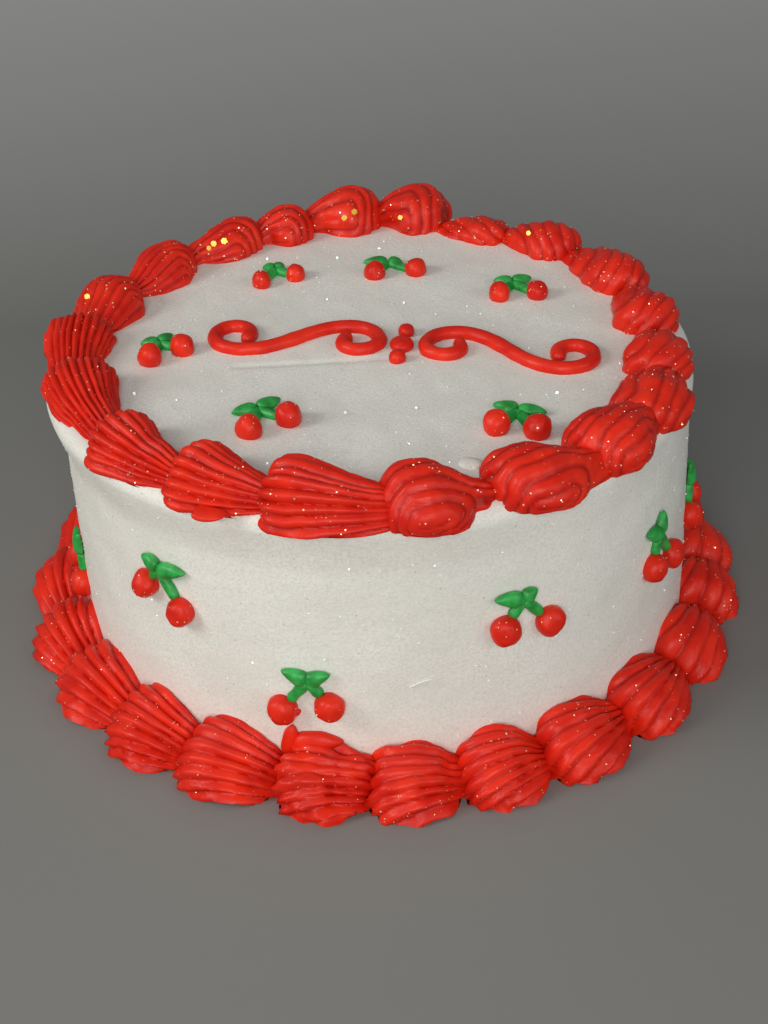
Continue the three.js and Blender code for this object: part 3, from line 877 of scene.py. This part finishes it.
# The glitter and the gold flakes
# Edible glitter: thin six-sided flakes, shaken over the finished cake, so each lies at its own tilt. It
# is silver on the white icing and gold on the red, with a few flakes as large as sequins.
FLAKE_THICKNESS = 0.03
FLAKE_STAND = 0.6
MOST_TILT = 60
WHITE_FLAKES = 2400
WHITE_FLAKE_WIDTHS = (0.22, 0.42)
WHITE_TOP_REACH = 49
WHITE_WALL = (8, 51)
TOP_FLAKES = 1400
TOP_FLAKE_WIDTHS = (0.16, 0.36)
TOP_TAIL_ROWS = 8
TOP_FLAKES_CLEAR = 1.0
BASE_FLAKES = 1600
BASE_FLAKE_WIDTHS = (0.16, 0.34)
BASE_TAIL_ROWS = 6
BASE_FLAKES_CLEAR = 0.5
DOT_FLAKES = 300
DOT_FLAKE_WIDTHS = (0.2, 0.34)
TO_VIEWER = np.array([-0.1, -0.86, 0.5])
SEQUIN_TILT = 14
SEQUIN_SEED = 904
GOLD_SEQUIN_WIDTHS = (0.9, 1.4)
GOLD_SEQUIN_STAND = 0.4
GOLD_SEQUIN_SEARCH = 0.5
GOLD_SEQUIN_STEEPNESS = 20
GOLD_SEQUINS = [
    # angle and distance from the middle of the top ring
    (165, 58),
    (129.5, 51),
    (131, 51.2),
    (127.2, 49.8),
    (92.8, 49.8),
    (96.2, 49.6),
    (82.2, 49.8),
    (48.5, 50.3),
]
SILVER_SEQUIN_WIDTHS = (0.45, 0.65)
SILVER_SEQUIN_STAND = 0.3
SILVER_SEQUINS = [
    # x and y on the cake's top
    (-8, 38.1),
    (0.9, 41.8),
    (-22.8, 38.8),
    (5.4, 16.2),
    (-45, -16.7),
    (-6.3, -26.2),
    (6.4, -25.4),
    (32, -21.8),
]


def spots_on(loops, wanted, count, random):
    """Places spread evenly by area over the wanted parts of a skin, with the way straight out at each."""
    corner = loops[:-1]
    across, up = np.roll(corner, -1, 1) - corner, loops[1:] - corner
    out = np.cross(across, up)
    out *= np.sign((out * (corner - corner.mean(1, keepdims=True))).sum())
    area = np.linalg.norm(out, axis=-1) * wanted[:-1]
    picked = random.choice(area.size, count, p=area.ravel() / area.sum())
    share = random.random((2, count, 1))
    corner, across, up, out = (values.reshape(-1, 3)[picked] for values in (corner, across, up, out))
    return corner + share[0] * across + share[1] * up, out / np.linalg.norm(out, axis=1, keepdims=True)


def flake_mesh(name, centres, facing, widths, material, random):
    """Six-sided plates: twelve points each, on two hexagons a thickness apart, turned to face one way."""
    count = len(centres)
    aside = np.cross(facing, random.normal(size=(count, 3)))
    aside /= np.linalg.norm(aside, axis=1, keepdims=True)
    ahead = np.cross(facing, aside)
    turn = np.radians(np.arange(6) * 60)[None, :, None]
    rim = (np.cos(turn) * aside[:, None] + np.sin(turn) * ahead[:, None]) * widths[:, None, None] / 2
    lift = facing[:, None] * FLAKE_THICKNESS / 2
    points = np.concatenate([rim - lift, rim + lift], 1) + centres[:, None]
    first = 12 * np.arange(count)[:, None]
    corner, beside = np.arange(6), (np.arange(6) + 1) % 6
    sides = (first[:, :, None] + np.stack([corner, beside, beside + 6, corner + 6], -1)).reshape(-1, 4)
    ends = np.concatenate([first + corner[::-1], first + corner + 6])
    mesh = bpy.data.meshes.new(name)
    mesh.from_pydata((points.reshape(-1, 3) * MM).tolist(), [], sides.tolist() + ends.tolist())
    mesh.materials.append(material)
    piece = bpy.data.objects.new(name, mesh)
    bpy.context.scene.collection.objects.link(piece)
    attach(piece, "root")
    return piece


def tilted(out, most, random):
    """Directions turned away from the given ones by up to an angle in degrees, to any side."""
    aside = np.cross(out, random.normal(size=out.shape))
    aside /= np.linalg.norm(aside, axis=1, keepdims=True)
    tilt = np.radians(random.uniform(0, most, len(out)))[:, None]
    return out * np.cos(tilt) + aside * np.sin(tilt)


def flake_material(name, first, second, metallic):
    """Thin metallic film, in two tints."""
    material, nodes, shader, link = node_tree(name)
    tint = ranged(nodes, link, noise(nodes, link, 1.5), 0.4, 0.6)
    link(mixed(nodes, link, tint, first, second), shader.inputs["Base Color"])
    shader.inputs["Metallic"].default_value = metallic
    shader.inputs["Roughness"].default_value = 0.3
    return material


def scattered(name, skins_and_wanted, count, widths, material, seed):
    """One piece of flakes spread over several skins, with as many on each skin as on the others."""
    random = np.random.default_rng(seed)
    each = count // len(skins_and_wanted)
    places, ways = zip(*(spots_on(loops, wanted, each, random) for loops, wanted in skins_and_wanted))
    places, ways = np.concatenate(places), np.concatenate(ways)
    facing = tilted(ways, MOST_TILT, random)
    widths = random.uniform(*widths, len(places))
    lean = np.sqrt(np.clip(1 - (facing * ways).sum(1, keepdims=True) ** 2, 0, 1))
    stand = widths[:, None] / 2 * lean * FLAKE_STAND
    return flake_mesh(name, places + ways * stand, facing, widths, material, random)


silver = flake_material("silver_flakes", (0.94, 0.97, 0.93), (0.72, 0.96, 0.84), 0.25)
gold = flake_material("gold_flakes", (1.0, 0.70, 0.34), (1.0, 0.86, 0.66), 0.7)
white_skin = cake_loops()
reach = np.hypot(white_skin[..., 0], white_skin[..., 1])
on_white_top = (white_skin[..., 2] > CAKE_HEIGHT - 1) & (reach < WHITE_TOP_REACH)
on_white_wall = (white_skin[..., 2] > WHITE_WALL[0]) & (white_skin[..., 2] < WHITE_WALL[1])
white_spots = [(white_skin, on_white_top | on_white_wall)]
scattered("silver_glitter", white_spots, WHITE_FLAKES, WHITE_FLAKE_WIDTHS, silver, seed=901)
bare_tops = [loops[:-TOP_TAIL_ROWS] for loops in top_loops]
top_spots = [(loops, loops[..., 2] > TOP_BORDER_FOOT + TOP_FLAKES_CLEAR) for loops in bare_tops]
scattered("gold_glitter_top", top_spots, TOP_FLAKES, TOP_FLAKE_WIDTHS, gold, seed=902)
bare_bases = [loops[:-BASE_TAIL_ROWS] for loops in base_loops]
base_spots = [(loops, loops[..., 2] > BASE_FLAKES_CLEAR) for loops in bare_bases]
scattered("gold_glitter_base", base_spots, BASE_FLAKES, BASE_FLAKE_WIDTHS, gold, seed=903)
dot_spots = [(loops, np.ones(loops.shape[:2])) for loops in all_dots]
scattered("gold_glitter_dots", dot_spots, DOT_FLAKES, DOT_FLAKE_WIDTHS, gold, seed=905)


def sequins(name, centres, widths, material, random):
    """One piece of large flakes, all turned roughly to the viewer."""
    facing = tilted(np.tile(TO_VIEWER, (len(centres), 1)), SEQUIN_TILT, random)
    return flake_mesh(name, centres, facing, random.uniform(*widths, len(centres)), material, random)


random = np.random.default_rng(SEQUIN_SEED)
top_points = np.concatenate([loops.reshape(-1, 3) for loops in top_loops])
centres = []
for angle, distance in GOLD_SEQUINS:
    turn = math.radians(angle)
    wanted = [distance * math.cos(turn) + TOP_RING_CENTRE, distance * math.sin(turn)]
    off = np.hypot(*(top_points[:, :2] - wanted).T)
    loss = GOLD_SEQUIN_STEEPNESS * np.maximum(off - GOLD_SEQUIN_SEARCH, 0)
    centres.append(top_points[np.argmax(top_points[:, 2] - loss)])
big_gold = flake_material("big_gold_flakes", (1.0, 0.56, 0.06), (1.0, 0.68, 0.14), 0.5)
centres = np.array(centres) + TO_VIEWER * GOLD_SEQUIN_STAND
sequins("gold_sequins", centres, GOLD_SEQUIN_WIDTHS, big_gold, random)
heights = np.full(len(SILVER_SEQUINS), CAKE_HEIGHT + SILVER_SEQUIN_STAND)
centres = np.column_stack([np.array(SILVER_SEQUINS), heights])
sequins("silver_sequins", centres, SILVER_SEQUIN_WIDTHS, silver, random)

# The floor, the light and the camera
# A plain matte floor that grows paler behind the cake, in a pale room. A wide soft key light from the
# front and one from the left do most of the work, with weaker ones from the right and from above.
FLOOR_SIZE = 6.0
FLOOR_BELOW = 0.05
FLOOR_NEAR = (0.2, 0.2, 0.19)
FLOOR_FAR = (0.8, 0.81, 0.79)
FLOOR_PALER = (0.12, 0.6)
floor_mesh = bpy.data.meshes.new("floor")
half = FLOOR_SIZE / 2
corners = [(-half, -half), (half, -half), (half, half), (-half, half)]
floor_mesh.from_pydata([(x, y, -FLOOR_BELOW * MM) for x, y in corners], [], [(0, 1, 2, 3)])
floor = bpy.data.objects.new("floor", floor_mesh)
floor_material, floor_nodes, floor_shader, floor_link = node_tree("floor")
floor_place = floor_nodes.new("ShaderNodeTexCoord")
floor_axes = floor_nodes.new("ShaderNodeSeparateXYZ")
floor_link(floor_place.outputs["Object"], floor_axes.inputs["Vector"])
far = ranged(floor_nodes, floor_link, floor_axes.outputs["Y"], *FLOOR_PALER)
floor_colour = mixed(floor_nodes, floor_link, far, FLOOR_NEAR, FLOOR_FAR)
floor_link(floor_colour, floor_shader.inputs["Base Color"])
floor_shader.inputs["Roughness"].default_value = 0.7
floor_mesh.materials.append(floor_material)
bpy.context.scene.collection.objects.link(floor)

CAKE_MIDDLE = Vector((0, 0, 0.03))
ROOM_COLOUR = (0.95, 0.97, 1.0, 1)
ROOM_STRENGTH = 0.17


def soft_light(name, place, size, power, colour):
    """A square area light, aimed at the middle of the cake."""
    data = bpy.data.lights.new(name, "AREA")
    data.size = size
    data.energy = power
    data.color = colour
    light = bpy.data.objects.new(name, data)
    light.location = place
    away = Vector(place) - CAKE_MIDDLE
    light.rotation_euler = away.to_track_quat("Z", "Y").to_euler()
    bpy.context.scene.collection.objects.link(light)


soft_light("key_light", (-0.05, -0.66, 0.36), 0.4, 2.6, (1.0, 0.98, 0.94))
soft_light("left_light", (-0.62, -0.22, 0.42), 0.3, 2.4, (1.0, 0.98, 0.94))
soft_light("right_light", (0.55, -0.45, 0.3), 0.4, 1.0, (0.97, 0.99, 1.0))
soft_light("top_light", (-0.3, 0.0, 0.9), 0.6, 0.5, (0.95, 0.98, 1.0))
world = bpy.data.worlds.new("room")
world.use_nodes = True
background = world.node_tree.nodes["Background"]
background.inputs["Color"].default_value = ROOM_COLOUR
background.inputs["Strength"].default_value = ROOM_STRENGTH
bpy.context.scene.world = world
bpy.context.scene.view_settings.view_transform = "Standard"

CAMERA_LENS = 57.94
CAMERA_PLACE = (0, -0.2802, 0.2056)
CAMERA_PITCH = 33.95
CAMERA_ROLL = 2.0
camera_data = bpy.data.cameras.new("camera")
camera_data.sensor_width = 36
camera_data.lens = CAMERA_LENS
camera_data.clip_start = 0.01
camera_data.clip_end = 20
camera = bpy.data.objects.new("camera", camera_data)
pitched = Matrix.Rotation(math.radians(90 - CAMERA_PITCH), 4, "X")
rolled = Matrix.Rotation(math.radians(-CAMERA_ROLL), 4, "Z")
camera.matrix_world = Matrix.Translation(CAMERA_PLACE) @ (pitched @ rolled)
bpy.context.scene.collection.objects.link(camera)
bpy.context.scene.camera = camera
